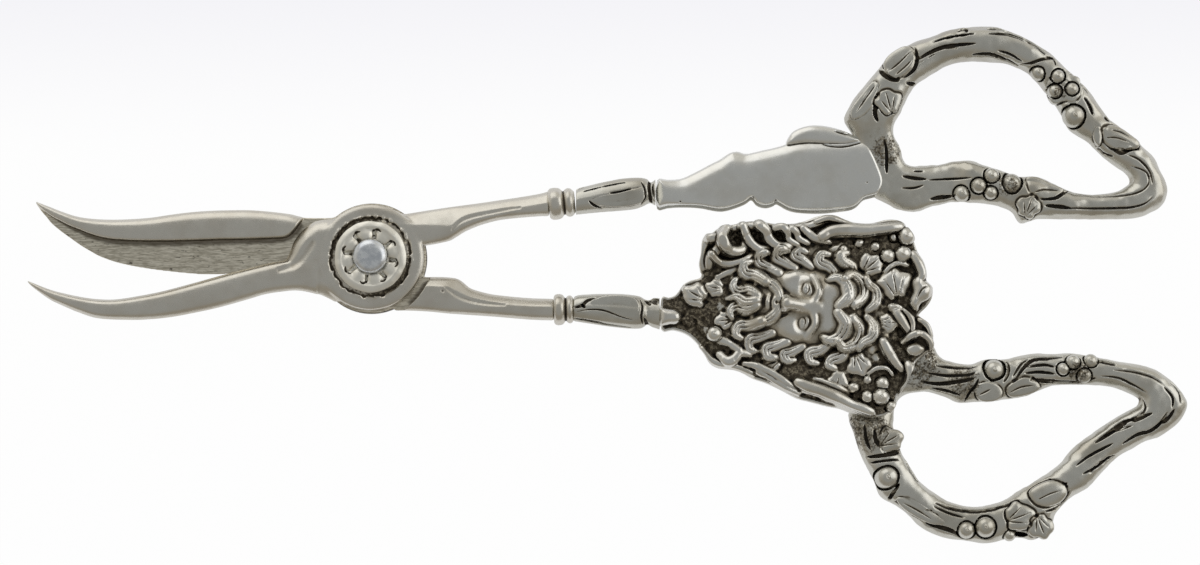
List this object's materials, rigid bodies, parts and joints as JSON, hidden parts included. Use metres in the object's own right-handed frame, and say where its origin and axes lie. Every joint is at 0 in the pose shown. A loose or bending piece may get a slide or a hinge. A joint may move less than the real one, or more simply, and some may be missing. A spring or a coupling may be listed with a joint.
{
  "type": "grape shears",
  "caption": "Crossed-lever table shears with short curved blades, a mask plaque and cast vine finger loops, for cutting grape stems.",
  "frame": {"origin": "on the pivot's axis, at the flat end of the rivet's tail, which is the height that the shears rest on", "axes": "+X from the pivot to the finger loops, +Z along the pivot's axis towards the mask's face, +Y towards the plain-plate handle"},
  "size_m": [0.1705, 0.0765, 0.0086],
  "materials": {
    "silver": "polished sterling silver with fine wear",
    "oxidised_silver": "cast silver with brown-black oxide in its recesses",
    "pin_steel": "polished bluish steel"
  },
  "bodies": {
    "rear_lever": {"rear_blade": "silver", "rear_collar": "silver", "rear_stem": "oxidised_silver", "rear_back_plate": "silver", "rear_mask": "oxidised_silver", "rear_loop": "oxidised_silver", "pivot_pin": "pin_steel", "front_rosette": "silver", "rear_rosette": "silver"},
    "front_lever": {"front_blade": "silver", "front_collar": "silver", "front_stem": "oxidised_silver", "front_plate": "silver", "front_relief": "oxidised_silver", "front_loop": "oxidised_silver"}
  },
  "joints": [
    {"name": "pivot", "type": "hinge", "parent": "rear_lever", "child": "front_lever", "pos_m": [0, 0, 0.0032], "axis": [0, 0, 1], "range_deg": [-10.5, 45]}
  ]
}
